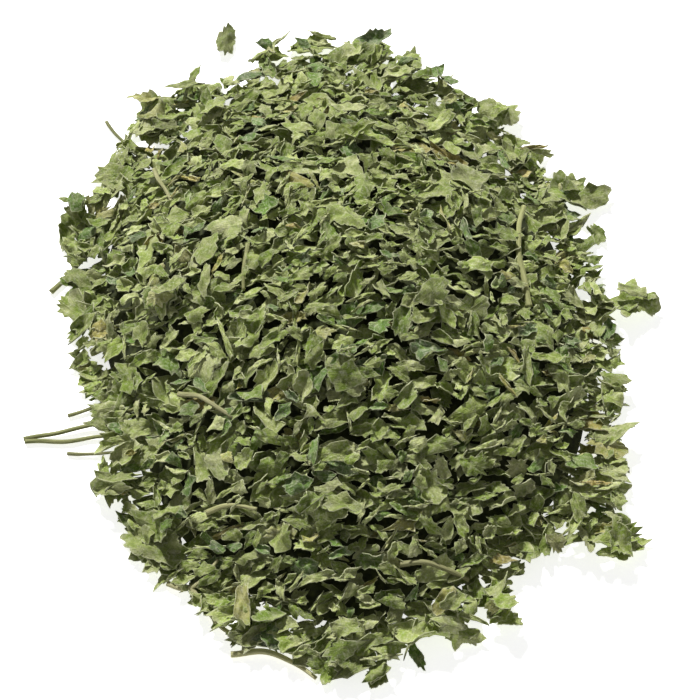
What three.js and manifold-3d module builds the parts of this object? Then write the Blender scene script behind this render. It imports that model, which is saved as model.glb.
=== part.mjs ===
import * as THREE from "three";
import { mergeVertices } from "three/addons/utils/BufferGeometryUtils.js";
import Module from "manifold-3d";

// A heap of dried parsley, tipped out on a table: torn leaf flakes piled in a low mound, larger
// leaf pieces lying on it and round its rim, bits of dried stem, and three stray flakes beside it.
// Millimetres, +Z up. Places are given from the middle of the heap's foot.

// The mound
const HEAP_HEIGHT = 24;
const FOOT_RADII = [49, 50, 55, 64, 61, 55, 50, 48, 58, 65, 60, 55]; // every 30 degrees, from +X towards +Y
const SLOPE_IN = 1.8; // how far in from the rim the slope stays steep
const SLOPE_OUT = 1.1; // how gently the slope meets the table
const LUMP_HEIGHT = 1.4;
const LUMP_LENGTH = 8;
const CROSS_LUMP_LENGTH = 5; // of the smaller lumps, which run slantwise
const MIDDLE = [0.9, 0.5]; // the point that becomes the origin: the middle of the whole heap's box

// The core that the covering flakes stand out of
const CORE_DEPTH = 1.1; // how far its surface lies below the mound's
const CORE_REACH = 0.97; // share of the foot radius that it fills
const CORE_RIM_HEIGHT = 0.8;
const CORE_RINGS = 6;
const CORE_SECTORS = 24;

// The covering flakes
const COVER_COUNT = 162;
const COVER_LENGTH = [10, 13];
const COVER_WIDTH = [7, 10];
const COVER_LIFT = [-0.2, 0.8]; // height of a flake's middle over the mound
const COVER_TIP = 0.4; // most that one end is tipped up, in radians
const COVER_ROLL = 0.35; // most that one side is tipped up, in radians
const COVER_ARCH = [0.2, 0.9]; // height of a flake's middle over its edge
const COVER_JITTER = 0.06; // most that a flake leaves its even place, in radians about the middle
const COVER_SEED = 7;
const STRIP_SHARE = 0.6; // width of a strip, as a share of another flake's

// All the flakes and leaf pieces
const BLADE = 0.7; // thickness
const WAVE = 0.5; // how far the edge waves up and down
const GAP = 0.3; // between pieces that lie against each other
const LEAF_SEED = 100;
const LEAF_ARCH = [0.3, 0.9]; // height of a larger piece's middle over its edge
const LEAF_ROLL = 0.1; // most that one side is tipped up, in radians

// Outlines of torn pieces, from the far end round to the left: the distance from the middle to
// each corner, as a share of half the length or width
const OUTLINES = {
  torn: [1, 1.1, 0.75, 1.05, 1.15],
  notched: [1.05, 0.7, 1.1, 0.95, 0.9],
  wedge: [1.15, 0.85, 0.95, 1.2],
  strip: [1, 0.9, 1.1, 1, 0.95, 1.1],
  square: [1, 1.15, 1.02, 0.95, 1.2, 0.95, 1.12, 0.92, 0.98, 1.16],
  toothed: [1.06, 0.82, 1.04, 0.84, 1.1, 0.9, 1, 1.02, 0.86, 1.08],
  blade: [1.04, 0.86, 0.94, 0.84, 0.9, 1.02, 0.84, 0.96, 0.82, 0.92],
  horned: [0.92, 0.72, 1.2, 0.5, 1.16, 0.8, 0.94, 0.86, 0.9, 0.8],
  lobed: [1.1, 0.86, 0.5, 1.04, 0.96, 0.46, 1.08, 0.7, 0.62, 0.9, 0.56, 0.84],
  starred: [1.08, 0.52, 1.1, 0.56, 1.02, 0.54, 0.9, 0.78, 0.6, 0.94, 0.54, 0.8],
};
const COVER_KINDS = ["torn", "notched", "wedge", "torn", "notched", "strip"];

// The larger leaf pieces: place, length, width, yaw in degrees, outline, height of the middle
// over the mound, and how far the far end is tipped up, in degrees
function leaf(x, y, length, width, yaw, kind, lift = 1.2, tip = 0) {
  return { x, y, length, width, yaw, kind, lift, tip };
}
const RIM_LEAVES = [
  leaf(29.7, 48, 9, 8, 8, "square"),
  leaf(21, 46, 10, 4.6, 95, "blade", 1.8),
  leaf(17.5, 54.8, 5.8, 5.4, 10, "horned"),
  leaf(35.2, 38.6, 9, 7.6, 25, "starred", 1.6),
  leaf(42.6, 30.5, 9.6, 8.4, -25, "toothed"),
  leaf(53, 6, 12, 9.6, -12, "lobed", 1, 6),
  leaf(5.2, 64.6, 9.6, 6.4, -20, "toothed"),
  leaf(-6.5, 64.8, 9.6, 5, 12, "toothed", 1.6),
  leaf(-14.6, 62.2, 6.4, 4.4, 30, "blade"),
  leaf(13, 60, 9.4, 5.4, 80, "blade"),
  leaf(-36, 48.6, 9, 7, 30, "toothed"),
  leaf(-29, 53, 8.6, 5, 70, "square"),
  leaf(-50.6, 23.6, 13, 5, 68, "blade", 1.4),
  leaf(-42, -31, 10.6, 4.8, 100, "lobed"),
  leaf(-32.6, -43.4, 14, 7.6, -27, "toothed", 1.4),
  leaf(-16, -59, 8, 5, 20, "blade", 1.4),
  leaf(-2, -65.5, 10, 6.6, 65, "starred"),
  leaf(6, -67, 6.2, 3.6, 80, "toothed"),
  leaf(20, -59.8, 9, 6.4, -15, "lobed"),
  leaf(28.4, -57, 5.4, 3.8, -15, "blade"),
  leaf(45.4, -33, 11, 8, -10, "square", 1.4),
  leaf(43.8, -38.8, 8.4, 5.6, 10, "blade", 1),
  leaf(48.6, -43.4, 10, 6.4, 15, "lobed", 1),
];
const TOP_LEAVES = [
  leaf(-32.6, 0, 8.6, 6, 2, "toothed", 1.9),
  leaf(-25.4, 43, 7.4, 4.8, 12, "blade", 1.9, 8),
  leaf(-16.4, -11, 9, 5.6, 42, "toothed", 2, 6),
  leaf(0, -20, 8, 6, 80, "lobed", 2),
  leaf(22.8, 22, 8.4, 6, -25, "lobed", 2, 5),
  leaf(38.6, -13.6, 8, 5.4, -60, "blade", 2),
  leaf(-3, -42, 9.4, 5.4, -8, "toothed", 2, 8),
  leaf(15.4, -5.6, 8, 5.4, 30, "starred", 2.1),
  leaf(0.6, 9, 8.6, 5.2, -35, "toothed", 2.1),
  leaf(4.4, 31.6, 14, 4.6, -14, "blade", 2.1),
];
const STRAY_FLAKES = [
  leaf(-23.1, 66.4, 7.4, 4, 80, "toothed"),
  leaf(47.6, 21.6, 5.6, 4, 100, "horned"),
  leaf(12.6, -63.6, 5.4, 2.6, -60, "blade"),
];

// Bits of stem: radius, and for each arm the points that its middle follows, with heights over
// the mound. The arms of a forked stem cross.
const STEMS = [
  {
    radius: 0.5,
    arms: [
      [[-57.2, -21.9, 0.6], [-50, -20.4, 0.8], [-43, -18.8, 1], [-36, -17.6, -0.6]],
      [[-57, -22.3, 0.6], [-50, -22.3, 0.6], [-43, -21.4, 0.8], [-37, -20.8, -0.6]],
    ],
  },
  { radius: 0.4, arms: [[[-49.4, -17, 0.5], [-45, -15.6, 0.9], [-39, -14.6, -0.5]]] },
  { radius: 0.4, arms: [[[-49.2, -24.6, 0.5], [-44, -25, 0.7], [-38, -24.4, -0.6]]] },
  {
    radius: 0.4,
    arms: [
      [[-45.7, 47.5, 0.5], [-41.6, 41.9, 0.7], [-37.5, 39.8, 0.3], [-33, 38, -1]],
      [[-42.1, 42.6, 0.6], [-40.4, 38.6, 0.6], [-36.6, 34.6, -0.8]],
    ],
  },
  { radius: 0.6, arms: [[[-54, 8.9, 0.6], [-51.4, 12, 0.7], [-48, 15.6, 0.4], [-43.6, 18.6, -1]]] },
  { radius: 0.75, arms: [[[33.2, 21.6, 2.6], [31.8, 13.3, 1.6], [32.3, 6.5, 1.1], [33.5, -0.9, 0.6]]] },
  {
    radius: 0.55,
    arms: [
      [[-26.6, -51, 1], [-23.4, -55, 0.7], [-20.4, -58.8, 0.6], [-17, -60.4, 0.6]],
      [[-30.4, -50.2, 0.8], [-26.8, -51.4, 0.9], [-24.2, -50.4, 0.9], [-21.4, -47, -0.6]],
    ],
  },
  { radius: 0.65, arms: [[[-19, -63.4, 0.7], [-13.8, -63, 0.7], [-8.4, -64.8, 0.7], [-4.6, -68, 0.7]]] },
  { radius: 0.5, arms: [[[-17, 6.4, 1.7], [-17.4, 2, 1.4], [-17.6, -2.6, 0.6]]] },
  { radius: 0.5, arms: [[[-35.5, 31.7, 1.5], [-33, 25, 1.4], [-30.2, 19, 0.6]]] },
  { radius: 0.6, arms: [[[-23.4, -40.4, 1.6], [-19, -40, 1.6], [-14.6, -41, 0.8]]] },
  { radius: 0.65, arms: [[[9.6, -50.2, 1.4], [15.5, -49.8, 1.8], [21.6, -51.4, 1.2]]] },
  { radius: 0.6, arms: [[[-28.8, -18.7, 1.2], [-24, -21.5, 1.6], [-19, -25.8, 0.8]]] },
];
const STEM_SIDES = 6;
const STEM_STEP = 2.6; // length of a stretch of stem between two rings

const LEAF_GREEN = 0x7f8a52;
const PALE_GREEN = 0x9aa26c;
const GREY_GREEN = 0x747f54;
const STRAW = 0xb9b184;

const TABLE = [300, 300, 20];
const MERGE_DISTANCE = 1e-3; // points nearer than this are one point

const wasm = await Module();
wasm.setup();

// A repeatable draw from 0 to 1
function drawFrom(seed) {
  let state = seed;
  return () => {
    state = (state + 0x6d2b79f5) | 0;
    let t = Math.imul(state ^ (state >>> 15), 1 | state);
    t = (t + Math.imul(t ^ (t >>> 7), 61 | t)) ^ t;
    return ((t ^ (t >>> 14)) >>> 0) / 4294967296;
  };
}

const between = ([low, high], draw) => low + (high - low) * draw();

// Distance from the middle to the mound's foot, on a smooth closed curve through FOOT_RADII
function footRadius(angle) {
  const count = FOOT_RADII.length;
  const place = (((angle / (2 * Math.PI)) % 1) + 1) * count;
  const first = Math.floor(place);
  const t = place - first;
  const [a, b, c, d] = [-1, 0, 1, 2].map((k) => FOOT_RADII[(first + k + count) % count]);
  return b + 0.5 * t * (c - a + t * (2 * a - 5 * b + 4 * c - d + t * (3 * (b - c) + d - a)));
}

function moundHeight(x, y) {
  const share = Math.hypot(x, y) / footRadius(Math.atan2(y, x));
  if (share >= 1) return 0;
  const lumps = Math.sin(x / LUMP_LENGTH + 1) * Math.cos(y / LUMP_LENGTH);
  const crossLumps = 0.5 * Math.sin((x + y) / CROSS_LUMP_LENGTH);
  const dome = HEAP_HEIGHT * (1 - share ** SLOPE_IN) ** SLOPE_OUT;
  return dome + LUMP_HEIGHT * (lumps + crossLumps) * (1 - share);
}

// Upward normal of the mound, felt out over a distance on each side
function moundNormal(x, y, reach) {
  const slopeX = (moundHeight(x + reach, y) - moundHeight(x - reach, y)) / (2 * reach);
  const slopeY = (moundHeight(x, y + reach) - moundHeight(x, y - reach)) / (2 * reach);
  return new THREE.Vector3(-slopeX, -slopeY, 1).normalize();
}

function geometryOf(points, triangles) {
  const geometry = new THREE.BufferGeometry();
  geometry.setAttribute("position", new THREE.Float32BufferAttribute(points.flat(), 3));
  geometry.setIndex(triangles.flat());
  return geometry;
}

function solidOf(geometry) {
  const bare = new THREE.BufferGeometry().setAttribute("position", geometry.getAttribute("position"));
  if (geometry.index) bare.setIndex(geometry.index);
  const merged = mergeVertices(bare, MERGE_DISTANCE);
  return new wasm.Manifold(
    new wasm.Mesh({
      numProp: 3,
      vertProperties: new Float32Array(merged.attributes.position.array),
      triVerts: new Uint32Array(merged.index.array),
    }),
  );
}

function geometryOfSolid(solid) {
  const mesh = solid.getMesh();
  const geometry = new THREE.BufferGeometry();
  geometry.setAttribute("position", new THREE.BufferAttribute(new Float32Array(mesh.vertProperties), 3));
  geometry.setIndex(new THREE.BufferAttribute(new Uint32Array(mesh.triVerts), 1));
  geometry.computeVertexNormals();
  return geometry;
}

// The largest body of a solid: loose scraps and sealed pockets are left out
function largestBody(solid) {
  return solid.decompose().reduce((best, body) => (body.volume() > best.volume() ? body : best));
}

// The core: rings of points on the mound, closed by a flat underside
function coreGeometry() {
  const points = [[0, 0, moundHeight(0, 0) - CORE_DEPTH], [0, 0, 0]];
  const triangles = [];
  for (let ring = 1; ring <= CORE_RINGS; ring++) {
    for (let sector = 0; sector < CORE_SECTORS; sector++) {
      const angle = (2 * Math.PI * (sector + (ring % 2) / 2)) / CORE_SECTORS;
      const radius = (footRadius(angle) * CORE_REACH * ring) / CORE_RINGS;
      const x = radius * Math.cos(angle);
      const y = radius * Math.sin(angle);
      points.push([x, y, Math.max(moundHeight(x, y) - CORE_DEPTH, CORE_RIM_HEIGHT)]);
    }
  }
  const at = (ring, sector) => 2 + (ring - 1) * CORE_SECTORS + sector;
  const foot = points.length;
  for (let sector = 0; sector < CORE_SECTORS; sector++) {
    const [x, y] = points[at(CORE_RINGS, sector)];
    points.push([x, y, 0]);
  }
  for (let sector = 0; sector < CORE_SECTORS; sector++) {
    const next = (sector + 1) % CORE_SECTORS;
    triangles.push([0, at(1, sector), at(1, next)]);
    for (let ring = 1; ring < CORE_RINGS; ring++) {
      const [a, b] = [at(ring, sector), at(ring, next)];
      const [c, d] = [at(ring + 1, sector), at(ring + 1, next)];
      if (ring % 2) triangles.push([a, d, b], [a, c, d]);
      else triangles.push([a, c, b], [b, c, d]);
    }
    const [top, topNext] = [at(CORE_RINGS, sector), at(CORE_RINGS, next)];
    triangles.push([top, foot + sector, foot + next], [top, foot + next, topNext]);
    triangles.push([1, foot + next, foot + sector]);
  }
  return geometryOf(points, triangles);
}

// A torn flake laid on the mound: a star-shaped outline with a waved edge, arched up in the middle.
// Grown, it is the room that the flake takes up with a gap round it.
function flakeGeometry(flake, grow = 0) {
  const { x, y, length, width, yaw, kind, lift, tip, roll, arch, waves } = flake;
  const shares = OUTLINES[kind];
  const half = BLADE / 2 + grow;
  const up = moundNormal(x, y, length / 2);
  const along = new THREE.Vector3(Math.cos(yaw), Math.sin(yaw), 0);
  along.addScaledVector(up, -along.dot(up)).normalize();
  const frame = new THREE.Matrix4()
    .makeBasis(along, new THREE.Vector3().crossVectors(up, along), up)
    .setPosition(x, y, moundHeight(x, y) + lift)
    .multiply(new THREE.Matrix4().makeRotationY(-tip))
    .multiply(new THREE.Matrix4().makeRotationX(roll));
  const points = [[0, 0, arch + half], [0, 0, arch - half]];
  shares.forEach((share, corner) => {
    const angle = (2 * Math.PI * corner) / shares.length;
    const u = ((length / 2) * share + grow) * Math.cos(angle);
    const v = ((width / 2) * share + grow) * Math.sin(angle);
    points.push([u, v, waves[corner] + half], [u, v, waves[corner] - half]);
  });
  const triangles = [];
  shares.forEach((_, corner) => {
    const next = (corner + 1) % shares.length;
    const [a, b, c, d] = [2 + 2 * corner, 2 + 2 * next, 3 + 2 * corner, 3 + 2 * next];
    triangles.push([0, a, b], [1, d, c], [a, c, b], [b, c, d]);
  });
  return geometryOf(points, triangles).applyMatrix4(frame);
}

// The covering flakes: a sunflower pattern over the mound, each flake turned and tipped by a draw
function coverFlakes() {
  const draw = drawFrom(COVER_SEED);
  const turn = Math.PI * (3 - Math.sqrt(5));
  return Array.from({ length: COVER_COUNT }, (_, i) => {
    const angle = i * turn + COVER_JITTER * draw();
    const radius = footRadius(angle) * Math.sqrt((i + draw()) / COVER_COUNT);
    const kind = COVER_KINDS[Math.floor(draw() * COVER_KINDS.length)];
    return {
      kind,
      x: radius * Math.cos(angle),
      y: radius * Math.sin(angle),
      length: between(COVER_LENGTH, draw),
      width: between(COVER_WIDTH, draw) * (kind === "strip" ? STRIP_SHARE : 1),
      yaw: 2 * Math.PI * draw(),
      lift: between(COVER_LIFT, draw),
      tip: COVER_TIP * (2 * draw() - 1),
      roll: COVER_ROLL * (2 * draw() - 1),
      arch: between(COVER_ARCH, draw),
      waves: OUTLINES[kind].map(() => WAVE * (draw() - 0.5)),
    };
  });
}

// A larger leaf piece with its arch, roll and waves drawn from its own seed
function leafPiece(row, seed) {
  const draw = drawFrom(seed);
  return {
    ...row,
    yaw: THREE.MathUtils.degToRad(row.yaw),
    tip: THREE.MathUtils.degToRad(row.tip),
    roll: LEAF_ROLL * (2 * draw() - 1),
    arch: between(LEAF_ARCH, draw),
    waves: OUTLINES[row.kind].map(() => WAVE * (draw() - 0.5)),
  };
}

// How far a leaf piece moves up or down: none sinks into the table, and one off the mound lies on it
function settling(piece, stray) {
  const geometry = flakeGeometry(piece);
  geometry.computeBoundingBox();
  const lowest = geometry.boundingBox.min.z;
  const offTheMound = stray || moundHeight(piece.x, piece.y) <= 0;
  return offTheMound || lowest < 0 ? -lowest : 0;
}

function stemGeometry(points, radius, grow = 0) {
  const places = points.map(([x, y, over]) => new THREE.Vector3(x, y, moundHeight(x, y) + over));
  if (grow) {
    const [first, second] = places;
    const [last, before] = [places.at(-1), places.at(-2)];
    first.addScaledVector(first.clone().sub(second).normalize(), grow);
    last.addScaledVector(last.clone().sub(before).normalize(), grow);
  }
  const curve = new THREE.CatmullRomCurve3(places);
  const section = new THREE.Shape(
    Array.from({ length: STEM_SIDES }, (_, side) => {
      const angle = (2 * Math.PI * side) / STEM_SIDES;
      return new THREE.Vector2((radius + grow) * Math.cos(angle), (radius + grow) * Math.sin(angle));
    }),
  );
  const steps = Math.ceil(curve.getLength() / STEM_STEP);
  return new THREE.ExtrudeGeometry(section, { steps, bevelEnabled: false, extrudePath: curve });
}

function stemSolid({ radius, arms }, grow = 0) {
  return wasm.Manifold.union(arms.map((points) => solidOf(stemGeometry(points, radius, grow))));
}

function heapSolid() {
  const flakes = coverFlakes().map((flake) => solidOf(flakeGeometry(flake)));
  return wasm.Manifold.union([solidOf(coreGeometry()), ...flakes]);
}

// Every piece as { name, color, solid, room }, where room is the piece with a gap round it
function loosePieces() {
  const twoDigits = (number) => String(number).padStart(2, "0");
  const stems = STEMS.map((stem, i) => ({
    name: `stem_${twoDigits(i + 1)}`,
    color: STRAW,
    solid: stemSolid(stem),
    room: stemSolid(stem, GAP),
  }));
  const rows = [
    ...STRAY_FLAKES.map((row, i) => [`stray_flake_${i + 1}`, GREY_GREEN, row, true]),
    ...TOP_LEAVES.map((row, i) => [`top_leaf_${twoDigits(i + 1)}`, PALE_GREEN, row, false]),
    ...RIM_LEAVES.map((row, i) => [`rim_leaf_${twoDigits(i + 1)}`, LEAF_GREEN, row, false]),
  ];
  const leaves = rows.map(([name, color, row, stray], i) => {
    const piece = leafPiece(row, LEAF_SEED + i);
    const rise = settling(piece, stray);
    const solid = solidOf(flakeGeometry(piece).translate(0, 0, rise));
    const room = solidOf(flakeGeometry(piece, GAP).translate(0, 0, rise));
    return { name, color, solid, room };
  });
  return [...stems, ...leaves];
}

// Each piece is cut clear of those before it, and the heap of flakes is cut clear of them all
function assemble() {
  const table = solidOf(new THREE.BoxGeometry(...TABLE).translate(0, 0, -TABLE[2] / 2));
  const group = new THREE.Group();
  group.position.set(-MIDDLE[0], -MIDDLE[1], 0);
  let taken = table;
  const place = (name, color, solid) => {
    const mesh = new THREE.Mesh(
      geometryOfSolid(largestBody(solid.subtract(taken))),
      new THREE.MeshStandardMaterial({ color, roughness: 0.8, metalness: 0 }),
    );
    mesh.name = name;
    group.add(mesh);
  };
  for (const { name, color, solid, room } of loosePieces()) {
    place(name, color, solid);
    taken = taken.add(room);
  }
  place("flake_heap", LEAF_GREEN, heapSolid());
  return group;
}

export default assemble();
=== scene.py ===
import math

import bpy
import numpy as np
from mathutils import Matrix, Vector


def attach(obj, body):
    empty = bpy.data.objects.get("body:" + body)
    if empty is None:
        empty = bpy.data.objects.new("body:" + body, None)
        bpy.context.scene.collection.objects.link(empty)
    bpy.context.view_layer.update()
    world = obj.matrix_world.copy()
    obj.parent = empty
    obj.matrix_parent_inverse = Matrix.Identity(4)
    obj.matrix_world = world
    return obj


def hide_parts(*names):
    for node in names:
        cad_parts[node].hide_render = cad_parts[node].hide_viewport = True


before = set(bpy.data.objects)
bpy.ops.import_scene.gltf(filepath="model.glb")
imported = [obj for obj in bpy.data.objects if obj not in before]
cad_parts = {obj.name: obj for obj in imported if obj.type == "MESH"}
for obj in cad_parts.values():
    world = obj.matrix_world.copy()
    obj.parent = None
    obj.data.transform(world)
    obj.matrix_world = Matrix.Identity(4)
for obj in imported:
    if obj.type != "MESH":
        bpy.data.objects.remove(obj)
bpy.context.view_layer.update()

# A heap of dried parsley: thousands of torn, curled flakes laid one on another over a core painted
# dark as the shade inside the heap, with larger leaf pieces, bits of stem and three stray flakes.
# Lengths are in millimetres, from the middle of the heap's foot, until a mesh is made.
MM = 0.001
MIDDLE = (0.9, 0.5)  # the place of the frame's origin
TABLE_GAP = 0.02  # nothing is lower than this over the table
REST_GAP = 0.05  # and larger pieces that rest on it are this far over it
SEED = 11

# The mound
HEAP_HEIGHT = 24
FOOT_RADII = [49, 50, 55, 64, 61, 55, 50, 48, 58, 65, 60, 55]  # every 30 degrees from +X
SLOPE_IN = 1.8
SLOPE_OUT = 1.1
LUMP_HEIGHT = 1.4
LUMP_LENGTH = 8
CROSS_LUMP_LENGTH = 5

# Painted shade under the flakes, a dark core: how deep it lies, its share of the foot's radius, its
# mesh
CORE_DEPTH = 4.3
CORE_REACH = 0.88
CORE_RINGS = 40
CORE_SECTORS = 120
CORE_ROUGHNESS = 0.5

# The height map that the flakes are laid on: its cells, and how far it reaches along X and Y
CELL = 0.4
REACH = (72, 80)
BED_DEPTH = 3.6  # the first flakes lie this far below the mound's surface
FULL_OVER = 0.5  # the heap is full this far over it
TOP_LIMIT = 28  # and no small flake stands higher than this over the table

# How far past the foot the loose flakes reach, and where they reach further or less far:
# direction in degrees from +X, how much further, and its width in degrees
FRINGE_REACH = 1.7
FRINGE_BUMPS = [
    (102, -5, 9),
    (130, 3, 10),
    (225, 2, 14),
    (262, 2, 9),
    (302, -3.5, 9),
    (320, 6, 8),
]
FRINGE_INSET = 2.4  # flakes of the heap are laid up to this far inside that edge
FRINGE_HEIGHT = 2  # and the heap is full at this height, where the mound is lower
FRINGE_FLAKES = 520
FRINGE_BAND = (2.4, 9)  # how far in from the edge the middles of the loose flakes lie

# The small flakes
FLAKE_COUNT = 2440
FLAKE_LENGTH = (3.4, 13)
LENGTH_SPREAD = (1.5, 2.9)  # of the beta draw between them, which favours short flakes
BLADE = 0.16
FLAKE_CORNERS = (4, 8)  # from the first up to but not with the second
CORNER_SHARES = (0.72, 1.12)  # of the half length and half width
NOTCHED = 0.6  # share of the flakes with one corner torn in
NOTCH_SHARES = (0.4, 0.7)
TEETH = (0.03, 0.18)
FLAKE_SECTORS = 24
FLAKE_RINGS = (0.45, 0.86, 1.0)
FLAKES_A_PIECE = 640
# Kinds of flake: share of the heap, least and most width over length, least and most curl
# radius over length, and how far a flake is folded along its middle
FLAKE_KINDS = [
    (0.5, (0.38, 0.7), (0.36, 1.2), 0.4),  # torn and lightly curled
    (0.24, (0.36, 0.6), (0.16, 0.3), 0.15),  # rolled lengthwise
    (0.16, (0.4, 0.7), (0.6, 1.4), 0.95),  # folded along the rib
    (0.1, (0.1, 0.2), (0.7, 2.5), 0.1),  # slivers and bits of stalk
]
ROLLED = 1
SLIVERS = 3
KIND_PALENESS = [0, 0.16, 0.04, 0.2]
SLIVER_HUES = (0.72, 1)  # slivers are drawn from the straw end of the leaf colours

# How a dried blade is crumpled, as shares of its length
WAVES = 0.05
RIPPLE = 0.045
EDGE_CURL = (-0.05, 0.12)
TWIST = 0.16

# How flakes lie, in radians: a YAW_SHARE of them is turned about YAW and rolled by LEAN
YAW = 0.25
YAW_SPREAD = 0.5
YAW_SHARE = 0.68
LEAN = -0.12
LEVEL = 0.8  # how much flatter than the slope they lie: 0 along it
# Ways of laying a flake: the spread of its tip and roll in radians, the share of its points that
# is clear of what lies under it, and how far it may stand over the full height there
LAID_DEEP = (0.3, 0.98, 2.1)
LAID_NEAR_TOP = (0.5, 0.98, 2.1)
LAID_WHERE_THIN = (0.22, 0.82, 2.1)
LAID_AT_FRINGE = (0.16, 0.75, 4)
LAID_ON_LEAF = (0.3, 0.94, 6)
NEAR_TOP = 1.8  # less than this is left to the full height
THIN = 2.6  # the heap is less than this deep, from its bed to its full height
LEAST_FULL = 1.4  # the full height is taken as at least this where a flake is held to it

# The search for an empty place
SEARCH = (62, 70)
PLACES_TRIED = 14  # each flake goes to the emptiest of so many places
LEAST_LACK = 0.1  # a place with less room than this is full
MISS_STEP = 0.05  # where a flake would stand too high, the full height drops by this
MOST_MISSES = 9000

# The larger leaf pieces, as in the solids: the shares of the outline's corners, then each
# piece's place, length, width, yaw in degrees, outline, lift over the mound and tip in degrees
OUTLINES = {
    "square": [1, 1.15, 1.02, 0.95, 1.2, 0.95, 1.12, 0.92, 0.98, 1.16],
    "toothed": [1.06, 0.82, 1.04, 0.84, 1.1, 0.9, 1, 1.02, 0.86, 1.08],
    "blade": [1.04, 0.86, 0.94, 0.84, 0.9, 1.02, 0.84, 0.96, 0.82, 0.92],
    "horned": [0.92, 0.72, 1.2, 0.5, 1.16, 0.8, 0.94, 0.86, 0.9, 0.8],
    "lobed": [1.1, 0.86, 0.5, 1.04, 0.96, 0.46, 1.08, 0.7, 0.62, 0.9, 0.56, 0.84],
    "starred": [1.08, 0.52, 1.1, 0.56, 1.02, 0.54, 0.9, 0.78, 0.6, 0.94, 0.54, 0.8],
}
RIM_LEAVES = [
    (29.7, 48, 9, 8, 8, "square", 1.2, 0),
    (21, 46, 10, 4.6, 95, "blade", 1.8, 0),
    (17.5, 54.8, 5.8, 5.4, 10, "horned", 1.2, 0),
    (35.2, 38.6, 9, 7.6, 25, "starred", 1.6, 0),
    (42.6, 30.5, 9.6, 8.4, -25, "toothed", 1.2, 0),
    (53, 6, 12, 9.6, -12, "lobed", 1, 6),
    (5.2, 64.6, 9.6, 6.4, -20, "toothed", 1.2, 0),
    (-6.5, 64.8, 9.6, 5, 12, "toothed", 1.6, 0),
    (-14.6, 62.2, 6.4, 4.4, 30, "blade", 1.2, 0),
    (13, 60, 9.4, 5.4, 80, "blade", 1.2, 0),
    (-36, 48.6, 9, 7, 30, "toothed", 1.2, 0),
    (-29, 53, 8.6, 5, 70, "square", 1.2, 0),
    (-50.6, 23.6, 13, 5, 68, "blade", 1.4, 0),
    (-42, -31, 10.6, 4.8, 100, "lobed", 1.2, 0),
    (-32.6, -43.4, 14, 7.6, -27, "toothed", 1.4, 0),
    (-16, -59, 8, 5, 20, "blade", 1.4, 0),
    (-2, -65.5, 10, 6.6, 65, "starred", 1.2, 0),
    (6, -67, 6.2, 3.6, 80, "toothed", 1.2, 0),
    (20, -59.8, 9, 6.4, -15, "lobed", 1.2, 0),
    (28.4, -57, 5.4, 3.8, -15, "blade", 1.2, 0),
    (45.4, -33, 11, 8, -10, "square", 1.4, 0),
    (43.8, -38.8, 8.4, 5.6, 10, "blade", 1, 0),
    (48.6, -43.4, 10, 6.4, 15, "lobed", 1, 0),
]
TOP_LEAVES = [
    (-32.6, 0, 8.6, 6, 2, "toothed", 1.9, 0),
    (-25.4, 43, 7.4, 4.8, 12, "blade", 1.9, 8),
    (-16.4, -11, 9, 5.6, 42, "toothed", 2, 6),
    (0, -20, 8, 6, 80, "lobed", 2, 0),
    (22.8, 22, 8.4, 6, -25, "lobed", 2, 5),
    (38.6, -13.6, 8, 5.4, -60, "blade", 2, 0),
    (-3, -42, 9.4, 5.4, -8, "toothed", 2, 8),
    (15.4, -5.6, 8, 5.4, 30, "starred", 2.1, 0),
    (0.6, 9, 8.6, 5.2, -35, "toothed", 2.1, 0),
    (4.4, 31.6, 14, 4.6, -14, "blade", 2.1, 0),
]
STRAY_FLAKES = [
    (-23.1, 66.4, 7.4, 4, 80, "toothed", 1.2, 0),
    (47.6, 21.6, 5.6, 4, 100, "horned", 1.2, 0),
    (12.6, -63.6, 5.4, 2.6, -60, "blade", 1.2, 0),
]
LEAF_COVER = 3  # small flakes laid over each
LEAF_ROOTS = 3  # and between it and the heap, for those at the rim
LEAF_SECTORS = 72
LEAF_RINGS = (0.2, 0.4, 0.58, 0.74, 0.88, 1.0)
LEAF_TEETH = 11
LEAF_TOOTH = 0.13
STRAY_SEED = 50  # turns the teeth of the stray flakes

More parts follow.
